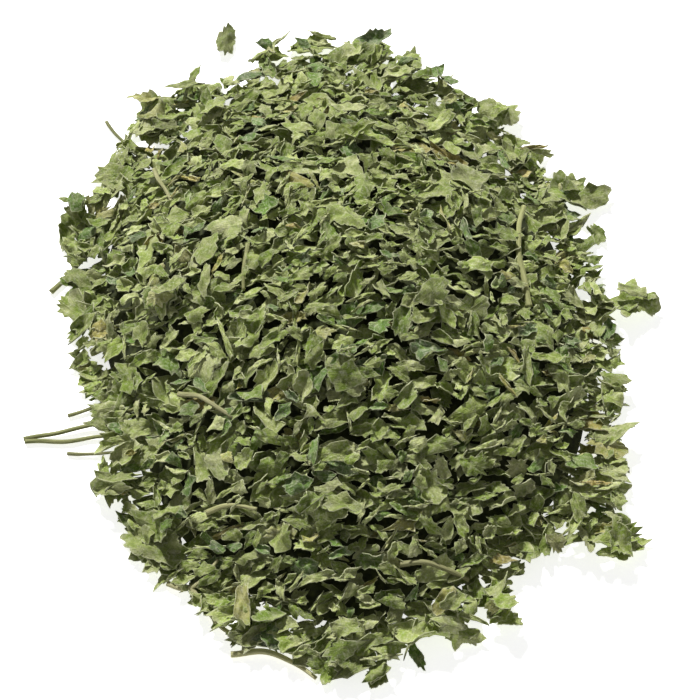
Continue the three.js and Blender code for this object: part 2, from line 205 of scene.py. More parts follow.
# Bits of stem, as in the solids: radius, and the points of each arm with heights over the mound
STEMS = [
    (0.5, [[(-57.2, -21.9, 0.6), (-50, -20.4, 0.8), (-43, -18.8, 1), (-36, -17.6, -0.6)],
           [(-57, -22.3, 0.6), (-50, -22.3, 0.6), (-43, -21.4, 0.8), (-37, -20.8, -0.6)]]),
    (0.4, [[(-49.4, -17, 0.5), (-45, -15.6, 0.9), (-39, -14.6, -0.5)]]),
    (0.4, [[(-49.2, -24.6, 0.5), (-44, -25, 0.7), (-38, -24.4, -0.6)]]),
    (0.4, [[(-45.7, 47.5, 0.5), (-41.6, 41.9, 0.7), (-37.5, 39.8, 0.3), (-33, 38, -1)],
           [(-42.1, 42.6, 0.6), (-40.4, 38.6, 0.6), (-36.6, 34.6, -0.8)]]),
    (0.6, [[(-54, 8.9, 0.6), (-51.4, 12, 0.7), (-48, 15.6, 0.4), (-43.6, 18.6, -1)]]),
    (0.75, [[(33.5, -0.9, 0.6), (32.3, 6.5, 1.1), (31.8, 13.3, 1.6), (33.2, 21.6, 2.6)]]),
    (0.55, [[(-26.6, -51, 1), (-23.4, -55, 0.7), (-20.4, -58.8, 0.6), (-17, -60.4, 0.6)],
            [(-30.4, -50.2, 0.8), (-26.8, -51.4, 0.9), (-24.2, -50.4, 0.9), (-21.4, -47, -0.6)]]),
    (0.65, [[(-19, -63.4, 0.7), (-13.8, -63, 0.7), (-8.4, -64.8, 0.7), (-4.6, -68, 0.7)]]),
    (0.5, [[(-17, 6.4, 1.7), (-17.4, 2, 1.4), (-17.6, -2.6, 0.6)]]),
    (0.5, [[(-35.5, 31.7, 1.5), (-33, 25, 1.4), (-30.2, 19, 0.6)]]),
    (0.6, [[(-23.4, -40.4, 1.6), (-19, -40, 1.6), (-14.6, -41, 0.8)]]),
    (0.65, [[(9.6, -50.2, 1.4), (15.5, -49.8, 1.8), (21.6, -51.4, 1.2)]]),
    (0.6, [[(-28.8, -18.7, 1.2), (-24, -21.5, 1.6), (-19, -25.8, 0.8)]]),
]
STEM_SIDES = 14
STEM_STEP = 0.5
STEM_SLIM = 0.82  # share of the solid's radius
STEM_TAPER = 0.35  # share of the radius lost at the far end
STEM_FLATNESS = 0.8  # height over width
STEM_RIDGES = 0.13

# The camera: 60 degrees above the table, looking along +Y
CAMERA_DISTANCE = 450
CAMERA_ELEVATION = 60
VIEW_WIDTH = 126  # across the picture, at that distance
LOOK_AT = (1.26, -6.7, 6.2)
SENSOR = 36

# Soft daylight from the back left, and a bright board in metres
ROOM_LIGHT = 0.24
SUN_LIGHT = 5.0
SUN_SIZE = 6  # degrees across
SUN_FROM = (-0.25, 0.7, 0.66)
BOARD_SIZE = 6
BOARD_GLOW = 0.7

random = np.random.default_rng(SEED)


def foot_radius(angle):
    """Distance from the middle to the foot, on a smooth closed curve through FOOT_RADII."""
    count = len(FOOT_RADII)
    radii = np.array(FOOT_RADII, float)
    place = (np.asarray(angle) / (2 * math.pi) % 1) * count
    first = np.floor(place).astype(int)
    t = place - first
    a, b, c, d = (radii[(first + k) % count] for k in (-1, 0, 1, 2))
    return b + 0.5 * t * (c - a + t * (2 * a - 5 * b + 4 * c - d + t * (3 * (b - c) + d - a)))


def fringe_radius(angle):
    """Distance from the middle to the edge of the loose flakes round the foot."""
    reach = foot_radius(angle) + FRINGE_REACH
    for direction, further, width in FRINGE_BUMPS:
        off = np.angle(np.exp(1j * (np.asarray(angle) - math.radians(direction))))
        reach = reach + further * np.exp(-(off / math.radians(width)) ** 2)
    return reach


def foot_share(x, y):
    """0 at the middle, 1 at the foot, more outside it."""
    return np.hypot(x, y) / foot_radius(np.arctan2(y, x))


def mound_height(x, y):
    share = np.minimum(foot_share(x, y), 1)
    lumps = np.sin(x / LUMP_LENGTH + 1) * np.cos(y / LUMP_LENGTH)
    cross_lumps = 0.5 * np.sin((x + y) / CROSS_LUMP_LENGTH)
    dome = HEAP_HEIGHT * (1 - share**SLOPE_IN) ** SLOPE_OUT
    return dome + LUMP_HEIGHT * (lumps + cross_lumps) * (1 - share)


def mound_normal(x, y, reach):
    slope_x = (mound_height(x + reach, y) - mound_height(x - reach, y)) / (2 * reach)
    slope_y = (mound_height(x, y + reach) - mound_height(x, y - reach)) / (2 * reach)
    return unit(np.array([-slope_x, -slope_y, 1.0]))


def unit(v):
    return v / np.linalg.norm(v)


def axes_for(up, yaw, tip=0.0, roll=0.0):
    """Columns along, side and up of a flake that lies square to up, turned, tipped and rolled."""
    along = np.array([math.cos(yaw), math.sin(yaw), 0.0])
    along = unit(along - up * (along @ up))
    side = np.cross(up, along)
    ct, st, cr, sr = math.cos(tip), math.sin(tip), math.cos(roll), math.sin(roll)
    tipped = np.array([[ct, 0, -st], [0, 1, 0], [st, 0, ct]])
    rolled = np.array([[1, 0, 0], [0, cr, -sr], [0, sr, cr]])
    return np.column_stack([along, side, up]) @ tipped @ rolled


class HeightMap:
    """In each cell the height of what lies there, and the ceiling at which the heap is full."""

    def __init__(self):
        self.xs = np.arange(-REACH[0], REACH[0], CELL)
        self.ys = np.arange(-REACH[1], REACH[1], CELL)
        x, y = np.meshgrid(self.xs, self.ys, indexing="ij")
        share = foot_share(x, y)
        mound = mound_height(x, y)
        fringe = fringe_radius(np.arctan2(y, x)) - FRINGE_INSET
        self.height = np.maximum(mound - BED_DEPTH, 0)
        self.ceiling = np.where(share < 1, mound + FULL_OVER, 0)
        low = self.ceiling < FRINGE_HEIGHT
        self.ceiling[low] = np.where(np.hypot(x, y) < fringe, FRINGE_HEIGHT, 0)[low]
        self.depth = np.maximum(self.ceiling - self.height, 0.01)

    def cells(self, points):
        i = np.clip(((points[:, 0] + REACH[0]) / CELL).astype(int), 0, len(self.xs) - 1)
        j = np.clip(((points[:, 1] + REACH[1]) / CELL).astype(int), 0, len(self.ys) - 1)
        return i, j

    def raise_to(self, points):
        """Notes something that has been laid."""
        i, j = self.cells(points)
        np.maximum.at(self.height, (i, j), points[:, 2])

    def reserve(self, points, room=0.15):
        """Keeps the place of something that is already there free, with room under it."""
        i, j = self.cells(points)
        np.minimum.at(self.ceiling, (i, j), points[:, 2] - room)


def outline_radii(corner_angles, corner_shares, angles):
    """Distance from the middle to a polygon's straight sides, at each angle."""
    corner_rays = np.column_stack([np.cos(corner_angles), np.sin(corner_angles)])
    ends = corner_rays * np.asarray(corner_shares)[:, None]
    count = len(corner_angles)
    first = (np.searchsorted(corner_angles, angles, side="right") - 1) % count
    p, q = ends[first], ends[(first + 1) % count]
    ray = np.column_stack([np.cos(angles), np.sin(angles)])
    side = q - p
    cross = ray[:, 0] * side[:, 1] - ray[:, 1] * side[:, 0]
    return (p[:, 0] * side[:, 1] - p[:, 1] * side[:, 0]) / np.where(abs(cross) < 1e-6, 1e-6, cross)


def bend(points, turn, radius):
    """Points of a flat sheet rolled about an axis in its plane."""
    c, s = math.cos(turn), math.sin(turn)
    far = points[:, 0] * c + points[:, 1] * s
    near = -points[:, 0] * s + points[:, 1] * c
    out = radius * np.sin(far / radius)
    rise = radius * (1 - np.cos(far / radius)) + points[:, 2] * np.cos(far / radius)
    out = out - points[:, 2] * np.sin(far / radius)
    return np.column_stack([out * c - near * s, out * s + near * c, rise])


def sheet_mesh(radii, angles, rings, length, width):
    """Flat points of a sheet, from the middle out, and its triangles."""
    flat = [np.zeros((1, 2))]
    for ring in rings:
        flat.append(np.column_stack([np.cos(angles), np.sin(angles)]) * (radii * ring)[:, None])
    flat = np.concatenate(flat) * [length / 2, width / 2]
    count = len(angles)
    k = np.arange(count)
    after = (k + 1) % count
    faces = [np.column_stack([np.zeros(count, int), 1 + k, 1 + after])]
    for ring in range(len(rings) - 1):
        inner, outer = 1 + ring * count, 1 + (ring + 1) * count
        faces.append(np.column_stack([inner + k, outer + k, outer + after]))
        faces.append(np.column_stack([inner + k, outer + after, inner + after]))
    return flat, np.concatenate(faces)


def sheet_normals(points, faces):
    corners = points[faces]
    face_normals = np.cross(corners[:, 1] - corners[:, 0], corners[:, 2] - corners[:, 0])
    normals = np.zeros_like(points)
    for k in range(3):
        np.add.at(normals, faces[:, k], face_normals)
    return normals / np.maximum(np.linalg.norm(normals, axis=1), 1e-9)[:, None]


def blade_mesh(points, faces, edge_count, thickness):
    """A closed blade: the sheet's two faces, thickness apart, and the edge between them."""
    normals = sheet_normals(points, faces)
    count = len(points)
    both = np.concatenate([points + normals * thickness / 2, points - normals * thickness / 2])
    edge = count - edge_count + np.arange(edge_count)
    after = np.roll(edge, -1)
    sides = np.concatenate([
        np.column_stack([edge, edge + count, after + count]),
        np.column_stack([edge, after + count, after]),
    ])
    return both, np.concatenate([faces, faces[:, ::-1] + count, sides])


def torn_outline(sectors):
    """A small flake's outline: straight torn sides between corners, some of them toothed."""
    count = random.integers(*FLAKE_CORNERS)
    corners = np.sort((np.arange(count) + random.uniform(-0.32, 0.32, count)) * 2 * math.pi / count)
    corners = np.mod(corners, 2 * math.pi)
    corners.sort()
    shares = random.uniform(*CORNER_SHARES, count)
    if random.random() < NOTCHED:
        shares[random.integers(count)] *= random.uniform(*NOTCH_SHARES)
    angles = np.arange(sectors) * 2 * math.pi / sectors
    nearest = np.round(corners / (2 * math.pi) * sectors).astype(int) % sectors
    angles[nearest] = corners
    angles.sort()
    radii = outline_radii(corners, shares, angles + 1e-7)
    radii = np.clip(radii, 0.25, 1.25) * (1 + random.normal(0, 0.05, sectors))
    start = random.uniform(0, 2 * math.pi)
    toothed = np.cos(angles - start) > random.uniform(-0.6, 0.9)
    deep = random.uniform(*TEETH)
    teeth = np.where(np.arange(sectors) % 2 == 0, 1 + deep, 1 - deep)
    return angles, np.where(toothed, radii * teeth, radii)


def crumple(flat, length, width, curl, folded, turned=0.7):
    """A flat sheet waved, rippled, folded, curled at its edge and twisted, then rolled.

    curl is the radius that it is rolled to, about an axis turned by a draw with a spread of turned.
    """
    u, v = flat[:, 0] / (length / 2), flat[:, 1] / (width / 2)
    turn = random.uniform(0, math.pi)
    waves = WAVES * length * random.uniform(0.3, 1.3) * np.sin(
        2.6 * (u * math.cos(turn) + v * math.sin(turn)) + random.uniform(0, 6.3))
    ripple = RIPPLE * length * np.sin(6 * u + random.uniform(0, 6.3)) * np.sin(
        5 * v + random.uniform(0, 6.3))
    fold = random.choice([-1, 1]) * random.uniform(0, folded) * width / 2 * np.sqrt(v**2 + 0.01)
    edge = (u**2 + v**2) ** 2 * random.uniform(*EDGE_CURL) * length * np.cos(
        np.arctan2(v, u) * 3 + random.uniform(0, 6.3))
    twist = random.uniform(-TWIST, TWIST) * length * u * v
    calmed = waves * min(1, width / length * 2.5)  # slivers have smaller waves
    points = np.column_stack([flat, calmed + ripple + fold + edge + twist])
    points = bend(points, random.normal(0, turned), random.choice([-1, 1]) * curl)
    return points - points.mean(axis=0)


class Pile:
    """Meshes joined in one piece, with the values that their material reads."""

    def __init__(self):
        self.points, self.faces, self.leaf, self.tone, self.edges = [], [], [], [], []
        self.size = 0

    def add(self, points, faces, uv, tone, rims):
        """uv is the place on the flat blade, and a draw of its own sets its mottling apart."""
        own = random.uniform(0, 50)
        self.points.append(points)
        self.faces.append(faces + self.size)
        self.leaf.append(np.column_stack([uv, np.full(len(points), own)]))
        # the third value is 1 on the outline, where the leaf material paints a highlight
        self.tone.append(np.column_stack([np.tile(tone, (len(points), 1)), rims > 0]))
        self.edges.append(rims)
        self.size += len(points)


def piece_from(name, pile, material, nodes):
    """Makes a pile's mesh and hands the piece over in place of the solid nodes that it shows."""
    points = (np.concatenate(pile.points) - [MIDDLE[0], MIDDLE[1], 0]) * MM
    points[:, 2] = np.maximum(points[:, 2], TABLE_GAP * MM)
    faces = np.concatenate(pile.faces)
    mesh = bpy.data.meshes.new(name)
    mesh.vertices.add(len(points))
    mesh.vertices.foreach_set("co", points.astype(np.float32).ravel())
    mesh.loops.add(faces.size)
    mesh.loops.foreach_set("vertex_index", faces.astype(np.int32).ravel())
    mesh.polygons.add(len(faces))
    mesh.polygons.foreach_set("loop_start", np.arange(0, faces.size, 3, dtype=np.int32))
    mesh.polygons.foreach_set("use_smooth", np.ones(len(faces), bool))
    mesh.update(calc_edges=True)
    sharpen_rims(mesh, np.concatenate(pile.edges))
    leaf = mesh.attributes.new("leaf", "FLOAT_VECTOR", "POINT")
    leaf.data.foreach_set("vector", np.concatenate(pile.leaf).astype(np.float32).ravel())
    tone = mesh.attributes.new("tone", "FLOAT_VECTOR", "POINT")
    tone.data.foreach_set("vector", np.concatenate(pile.tone).astype(np.float32).ravel())
    mesh.materials.append(material)
    piece = bpy.data.objects.new(name, mesh)
    bpy.context.scene.collection.objects.link(piece)
    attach(piece, "root")
    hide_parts(*nodes)


def sharpen_rims(mesh, rim):
    """Marks a blade's two outlines as sharp. rim is 1 on the upper outline and 2 on the lower."""
    pairs = np.empty(len(mesh.edges) * 2, np.int32)
    mesh.edges.foreach_get("vertices", pairs)
    ends = rim[pairs.reshape(-1, 2)]
    sharp = (ends[:, 0] == ends[:, 1]) & (ends[:, 0] > 0)
    marks = mesh.attributes.new("sharp_edge", "BOOLEAN", "EDGE")
    marks.data.foreach_set("value", sharp)


def rim_mask(sheet_count, edge_count):
    """1 and 2 at the points of a blade's upper and lower outline, 0 elsewhere."""
    mask = np.zeros(2 * sheet_count, np.int32)
    mask[sheet_count - edge_count:sheet_count] = 1
    mask[2 * sheet_count - edge_count:] = 2
    return mask


def draw_tone(pale=0.0):
    """Two draws that set a flake's colour: hue and lightness."""
    return np.array([random.random(), np.clip(random.normal(0.5 + pale, 0.2), 0, 1)])


def small_flake():
    """A flake about the origin: its length, points, faces, places on the flat blade, rims, kind."""
    shortest, longest = FLAKE_LENGTH
    length = shortest + (longest - shortest) * random.beta(*LENGTH_SPREAD)
    kind = random.choice(len(FLAKE_KINDS), p=[row[0] for row in FLAKE_KINDS])
    _, slimness, curl, folded = FLAKE_KINDS[kind]
    width = length * random.uniform(*slimness)
    angles, radii = torn_outline(FLAKE_SECTORS)
    flat, faces = sheet_mesh(radii, angles, FLAKE_RINGS, length, width)
    points = crumple(flat, length, width, length * random.uniform(*curl), folded)
    if kind == ROLLED:
        hardly_curled = crumple(flat, length, width, length * 4, folded, 0.3)
        turn = math.pi / 2 + random.normal(0, 0.3)
        points = bend(hardly_curled, turn, length * random.uniform(*curl))
        points -= points.mean(axis=0)
    both, all_faces = blade_mesh(points, faces, FLAKE_SECTORS, BLADE)
    uv = np.tile(flat, (2, 1))
    return length, both, all_faces, uv, rim_mask(len(flat), FLAKE_SECTORS), kind


def dense(points):
    """Points of a blade and points between them, enough to fill the height map under it."""
    middle = points.mean(axis=0)
    halfway = (points + np.roll(points, 1, axis=0)) / 2
    arms = np.concatenate([points, halfway]) - middle
    return np.concatenate([middle + arms * share for share in (1, 0.86, 0.72, 0.58, 0.4, 0.2)])


def lay(heights, flake, x, y, way):
    """Turns and lowers a flake onto the heights at a place. None if it would stand too high."""
    length, points, *_ = flake
    tilt, clear, spare = way
    reach = max(length * 0.45, 1.2)
    ring = np.arange(8) * math.pi / 4
    around = np.column_stack([x + reach * np.cos(ring), y + reach * np.sin(ring)])
    level = heights.height[heights.cells(around)]
    slope_x = 2 * np.mean((level - level.mean()) * np.cos(ring)) / reach
    slope_y = 2 * np.mean((level - level.mean()) * np.sin(ring)) / reach
    up = unit(unit(np.array([-slope_x, -slope_y, 1.0])) + [0, 0, LEVEL])
    yaw, roll = random.uniform(0, 2 * math.pi), random.normal(0, tilt)
    if random.random() < YAW_SHARE:
        yaw = YAW + random.normal(0, YAW_SPREAD)
        roll += LEAN
    axes = axes_for(up, yaw, random.normal(0, tilt), roll)
    turned = points @ axes.T + [x, y, 0]
    under = heights.height[heights.cells(turned)]
    turned[:, 2] += np.quantile(under - turned[:, 2], clear)
    turned[:, 2] += max(0, -turned[:, 2].min())
    over = turned[:, 2] - np.maximum(heights.ceiling[heights.cells(turned)], LEAST_FULL)
    if over.max() > spare or turned[:, 2].max() > TOP_LIMIT:
        return None
    return turned


def lay_flakes(heights):
    """Lays each flake in the emptiest of a few places, until there are enough or no room."""
    laid = []
    misses = 0
    while len(laid) < FLAKE_COUNT and misses < MOST_MISSES:
        tries = random.uniform(-1, 1, (PLACES_TRIED, 2)) * SEARCH
        i, j = heights.cells(tries)
        lack = heights.ceiling[i, j] - heights.height[i, j]
        bare = (heights.height[i, j] <= 0) & (lack > 0.5)
        best = int(np.argmax(lack / heights.depth[i, j] + bare))
        if lack[best] < LEAST_LACK:
            misses += 1
            continue
        x, y = tries[best]
        flake = small_flake()
        way = LAID_NEAR_TOP if lack[best] < NEAR_TOP else LAID_DEEP
        if heights.depth[i[best], j[best]] < THIN:
            way = LAID_WHERE_THIN
        turned = lay(heights, flake, x, y, way)
        if turned is None:
            misses += 1
            heights.ceiling[i[best], j[best]] -= MISS_STEP
            continue
        heights.raise_to(dense(turned))
        laid.append((turned, *flake[2:]))
    return laid


def lay_fringe(heights):
    """Loose flakes on the table round the foot."""
    laid = []
    for k in range(FRINGE_FLAKES):
        angle = (k + random.uniform(-0.5, 0.5)) * 2 * math.pi / FRINGE_FLAKES
        reach = float(fringe_radius(angle)) - random.uniform(*FRINGE_BAND)
        flake = small_flake()
        x, y = reach * math.cos(angle), reach * math.sin(angle)
        turned = lay(heights, flake, x, y, LAID_AT_FRINGE)
        if turned is not None:
            heights.raise_to(dense(turned))
            laid.append((turned, *flake[2:]))
    return laid


def dress_leaf(heights, placed, roots):
    """A few small flakes over the outline of a larger leaf piece, and between it and the heap."""
    laid = []
    heights.raise_to(dense(placed))
    middle = placed.mean(axis=0)
    inward = -unit(middle * [1, 1, 0])
    half = np.ptp(placed @ inward) / 2
    spots = [middle + (placed[random.integers(len(placed))] - middle) * random.uniform(0.7, 1.0)
             for _ in range(LEAF_COVER)]
    spots += [middle + inward * (half + random.uniform(-0.5, 2.5)) + random.normal(0, 1.2, 3)
              for _ in range(roots)]
    for spot in spots:
        flake = small_flake()
        turned = lay(heights, flake, spot[0], spot[1], LAID_ON_LEAF)
        if turned is not None:
            heights.raise_to(dense(turned))
            laid.append((turned, *flake[2:]))
    return laid


def leaf_piece(row, seed):
    """A larger leaf piece in place: its own outline with teeth, crumpled, laid as its solid is."""
    x, y, length, width, yaw, kind, lift, tip = row
    shares = np.array(OUTLINES[kind], float)
    corners = np.arange(len(shares)) * 2 * math.pi / len(shares)
    angles = np.arange(LEAF_SECTORS) * 2 * math.pi / LEAF_SECTORS
    radii = outline_radii(corners, shares, angles + 1e-7)
    saw = np.abs(((angles * LEAF_TEETH / (2 * math.pi) + 0.3 * np.sin(angles + seed)) % 1) * 2 - 1)
    teeth = LEAF_TOOTH * saw * (1.2 + np.sin(angles * 2 + seed))
    radii = radii * (0.88 + teeth) * (1 + random.normal(0, 0.035, LEAF_SECTORS))
    flat, faces = sheet_mesh(radii, angles, LEAF_RINGS, length, width)
    points = crumple(flat, length, width, random.uniform(0.7, 1.6) * length, 0.6)
    both, all_faces = blade_mesh(points, faces, LEAF_SECTORS, BLADE)
    up = mound_normal(x, y, length / 2)
    axes = axes_for(up, math.radians(yaw), math.radians(tip), random.normal(0, 0.05))
    placed = both @ axes.T + [x, y, float(mound_height(x, y)) + lift]
    uv = np.tile(flat, (2, 1))
    return placed, all_faces, uv, rim_mask(len(flat), LEAF_SECTORS)


def curve_points(knots, step):
    """Points along a smooth curve through the knots."""
    knots = np.array(knots, float)
    padded = np.concatenate([2 * knots[:1] - knots[1:2], knots, 2 * knots[-1:] - knots[-2:-1]])
    points = []
    for k in range(len(knots) - 1):
        a, b, c, d = padded[k:k + 4]
        count = max(2, int(np.linalg.norm(c - b) / step))
        for t in np.arange(count) / count:
            cubic = 2 * a - 5 * b + 4 * c - d + t * (3 * (b - c) + d - a)
            points.append(b + 0.5 * t * (c - a + t * cubic))
    points.append(knots[-1])
    return np.array(points)


def stem_arm(knots, radius):
    """A ridged tube along an arm, a little wavy and tapered, with caps."""
    on_mound = [(x, y, float(mound_height(x, y)) + over) for x, y, over in knots]
    path = curve_points(on_mound, STEM_STEP)
    path[:, :2] += 0.12 * np.sin(np.arange(len(path))[:, None] * 0.35 + random.uniform(0, 6, 2))
    tangents = np.gradient(path, axis=0)
    points, uv = [], []
    travelled = 0.0
    for k, (place, tangent) in enumerate(zip(path, tangents)):
        along = unit(tangent)
        side = unit(np.cross(along, [0, 0, 1.0]))
        up = np.cross(side, along)
        share = k / (len(path) - 1)
        swelling = 1 + 0.06 * math.sin(5 * share + knots[0][0])
        fat = radius * STEM_SLIM * (1 - STEM_TAPER * share) * swelling
        around = np.arange(STEM_SIDES) * 2 * math.pi / STEM_SIDES + 0.6 * share
        ridges = fat * (1 + STEM_RIDGES * (np.arange(STEM_SIDES) % 2))
        sideways = np.outer(ridges * np.cos(around), side)
        upwards = np.outer(ridges * STEM_FLATNESS * np.sin(around), up)
        points.append(place + sideways + upwards)
        uv.append(np.column_stack([np.full(STEM_SIDES, travelled), around]))
        travelled += STEM_STEP
    rings = len(points)
    points = np.concatenate(points + [path[:1], path[-1:]])
    uv = np.concatenate(uv + [np.zeros((1, 2)), np.full((1, 2), travelled)])
    k = np.arange(STEM_SIDES)
    after = (k + 1) % STEM_SIDES
    faces = []
    for ring in range(rings - 1):
        a, b = ring * STEM_SIDES, (ring + 1) * STEM_SIDES
        faces.append(np.column_stack([a + k, a + after, b + after]))
        faces.append(np.column_stack([a + k, b + after, b + k]))
    last = (rings - 1) * STEM_SIDES
    first_cap, last_cap = rings * STEM_SIDES, rings * STEM_SIDES + 1
    faces.append(np.column_stack([np.full(STEM_SIDES, first_cap), after, k]))
    faces.append(np.column_stack([np.full(STEM_SIDES, last_cap), last + k, last + after]))
    return points, np.concatenate(faces), uv, np.zeros(len(points), np.int32)


def core_pile():
    """The inside of the heap that shows in the gaps, painted as dark shade: a rough mound a few flakes
    down.
    """
    rings, sectors = CORE_RINGS, CORE_SECTORS
    angles = np.arange(sectors) * 2 * math.pi / sectors
    reach = foot_radius(angles) * CORE_REACH
    points = [[0, 0, float(mound_height(0, 0)) - CORE_DEPTH]]
    for ring in range(1, rings + 1):
        x, y = reach * np.cos(angles) * ring / rings, reach * np.sin(angles) * ring / rings
        rough = random.uniform(0, CORE_ROUGHNESS, sectors)
        z = np.maximum(mound_height(x, y) - CORE_DEPTH, 0.15) + rough
        points.extend(np.column_stack([x, y, np.where(ring == rings, REST_GAP, z)]))
    points = np.array(points)
    k = np.arange(sectors)
    after = (k + 1) % sectors
    faces = [np.column_stack([np.zeros(sectors, int), 1 + k, 1 + after])]
    for ring in range(rings - 1):
        a, b = 1 + ring * sectors, 1 + (ring + 1) * sectors
        faces.append(np.column_stack([a + k, b + k, b + after]))
        faces.append(np.column_stack([a + k, b + after, a + after]))
    pile = Pile()
    tone = np.zeros(2)
    rims = np.zeros(len(points), np.int32)
    pile.add(points, np.concatenate(faces), points[:, :2], tone, rims)
    return pile


class Nodes:
    """Short calls for building a material's node tree."""

    def __init__(self, name):
        self.material = bpy.data.materials.new(name)
        self.material.use_nodes = True
        self.tree = self.material.node_tree
        self.shader = self.tree.nodes["Principled BSDF"]

    def make(self, kind, inputs=None, **settings):
        node = self.tree.nodes.new(kind)
        for key, value in settings.items():
            setattr(node, key, value)
        for key, value in (inputs or {}).items():
            self.set(node.inputs[key], value)
        return node

    def set(self, socket, value):
        if isinstance(value, bpy.types.NodeSocket):
            self.tree.links.new(value, socket)
        else:
            socket.default_value = value

    def math(self, operation, *values, clamp=False):
        node = self.make("ShaderNodeMath", operation=operation, use_clamp=clamp)
        for k, value in enumerate(values):
            self.set(node.inputs[k], value)
        return node.outputs[0]

    def attribute(self, name):
        node = self.make("ShaderNodeAttribute", attribute_name=name)
        return node.outputs["Vector"]

    def split(self, vector):
        return self.make("ShaderNodeSeparateXYZ", {"Vector": vector}).outputs

    def noise(self, vector, scale, detail=4.0, roughness=0.6):
        node = self.make("ShaderNodeTexNoise", {"Vector": vector, "Scale": scale, "Detail": detail,
                                                "Roughness": roughness})
        return node.outputs["Fac"]

    def ramp(self, factor, stops):
        node = self.make("ShaderNodeValToRGB", {"Fac": factor})
        elements = node.color_ramp.elements
        while len(elements) < len(stops):
            elements.new(0.5)
        for element, (place, color) in zip(elements, stops):
            element.position = place
            element.color = srgb(*color)
        return node.outputs["Color"]

    def mix(self, factor, a, b):
        node = self.make("ShaderNodeMix", data_type="RGBA")
        self.set(node.inputs["Factor"], factor)
        self.set(node.inputs[6], a)
        self.set(node.inputs[7], b)
        return node.outputs[2]


def srgb(r, g, b):
    """An sRGB colour, 0 to 255, as linear values with alpha."""
    shares = [c / 255 for c in (r, g, b)]
    linear = [s / 12.92 if s <= 0.04045 else ((s + 0.055) / 1.055) ** 2.4 for s in shares]
    return (*linear, 1.0)


def leaf_material():
    """Dry leaf: a green drawn for each flake, mottled, veined, paler where it is bruised, with a
    painted highlight along its outline.
    """
    n = Nodes("dried_leaf")
    leaf = n.attribute("leaf")
    u, v, _ = n.split(leaf)
    hue, light, rim = n.split(n.attribute("tone"))
    base = n.ramp(hue, [
        (0.0, (84, 102, 70)), (0.06, (86, 114, 54)), (0.14, (110, 126, 62)), (0.4, (130, 143, 78)),
        (0.75, (146, 155, 98)), (0.95, (160, 165, 118)), (0.985, (158, 152, 92)), (1.0, (150, 134, 82)),
    ])
    patches = n.noise(leaf, 0.55, 3.0)
    spots = n.noise(leaf, 1.7, 3.0, 0.75)
    bruised = n.math("MULTIPLY", n.math("SUBTRACT", patches, 0.45, clamp=True), 1.6)
    green = n.math("MULTIPLY", n.math("SUBTRACT", 0.5, patches, clamp=True), 3.0, clamp=True)
    pale = n.math("MULTIPLY", n.math("SUBTRACT", spots, 0.5, clamp=True), 2.6, clamp=True)
    dark = n.math("MULTIPLY", n.math("SUBTRACT", 0.47, spots, clamp=True), 2.8, clamp=True)
    blotch = n.mix(green, base, srgb(108, 130, 48))
    blotch = n.mix(bruised, blotch, srgb(180, 178, 142))
    blotch = n.mix(pale, blotch, srgb(194, 194, 174))
    blotch = n.mix(dark, blotch, srgb(86, 98, 46))
    fine = n.noise(leaf, 3.2, 5.0, 0.7)
    stretched = n.make("ShaderNodeMapping", {"Vector": leaf, "Scale": (0.9, 5.0, 1.0)})
    streaks = n.noise(stretched.outputs[0], 1.0, 3.0)
    even = n.math("ADD", n.math("MULTIPLY", fine, 0.6), n.math("MULTIPLY", streaks, 0.4))
    grain = n.math("ADD", 0.5, n.math("MULTIPLY", n.math("SUBTRACT", even, 0.5), 2.4), clamp=True)
    shade = n.math("ADD", n.math("MULTIPLY", light, 0.75), n.math("MULTIPLY", grain, 0.75))
    value = n.math("ADD", 0.26, shade)
    tinted = n.make("ShaderNodeHueSaturation", {"Color": blotch, "Saturation": 1.12, "Value": value})
    vein = vein_lines(n, u, v)
    veined = n.mix(n.math("MULTIPLY", vein, 0.35), tinted.outputs[0], srgb(176, 176, 132))
    # painted highlight: each flake's outline is lightened in patches, as where light catches its edges
    rim_highlight = n.math("MULTIPLY", n.math("POWER", rim, 2.0), n.math("MULTIPLY", patches, 1.1))
    color = n.mix(rim_highlight, veined, srgb(190, 190, 158))
    n.set(n.shader.inputs["Base Color"], color)
    n.set(n.shader.inputs["Roughness"], n.math("ADD", 0.62, n.math("MULTIPLY", fine, 0.25)))
    n.set(n.shader.inputs["Specular IOR Level"], 0.3)
    height = n.math("ADD", n.math("MULTIPLY", vein, 0.35), grain)
    bump = n.make("ShaderNodeBump", {"Height": height, "Strength": 0.8, "Distance": 0.00018})
    n.set(n.shader.inputs["Normal"], bump.outputs[0])
    return n.material


def vein_lines(n, u, v):
    """1 on a midrib along the flake and on slanted side veins, 0 between them."""
    across = n.math("ABSOLUTE", v)
    rib = n.math("SUBTRACT", 1.0, n.math("DIVIDE", across, 0.09), clamp=True)
    slant = n.math("ADD", u, n.math("MULTIPLY", across, 0.9))
    saw = n.math("ABSOLUTE", n.math("SUBTRACT", n.math("FRACT", n.math("DIVIDE", slant, 1.15)), 0.5))
    side = n.math("SUBTRACT", 1.0, n.math("DIVIDE", saw, 0.055), clamp=True)
    return n.math("MAXIMUM", rib, n.math("MULTIPLY", side, 0.6))


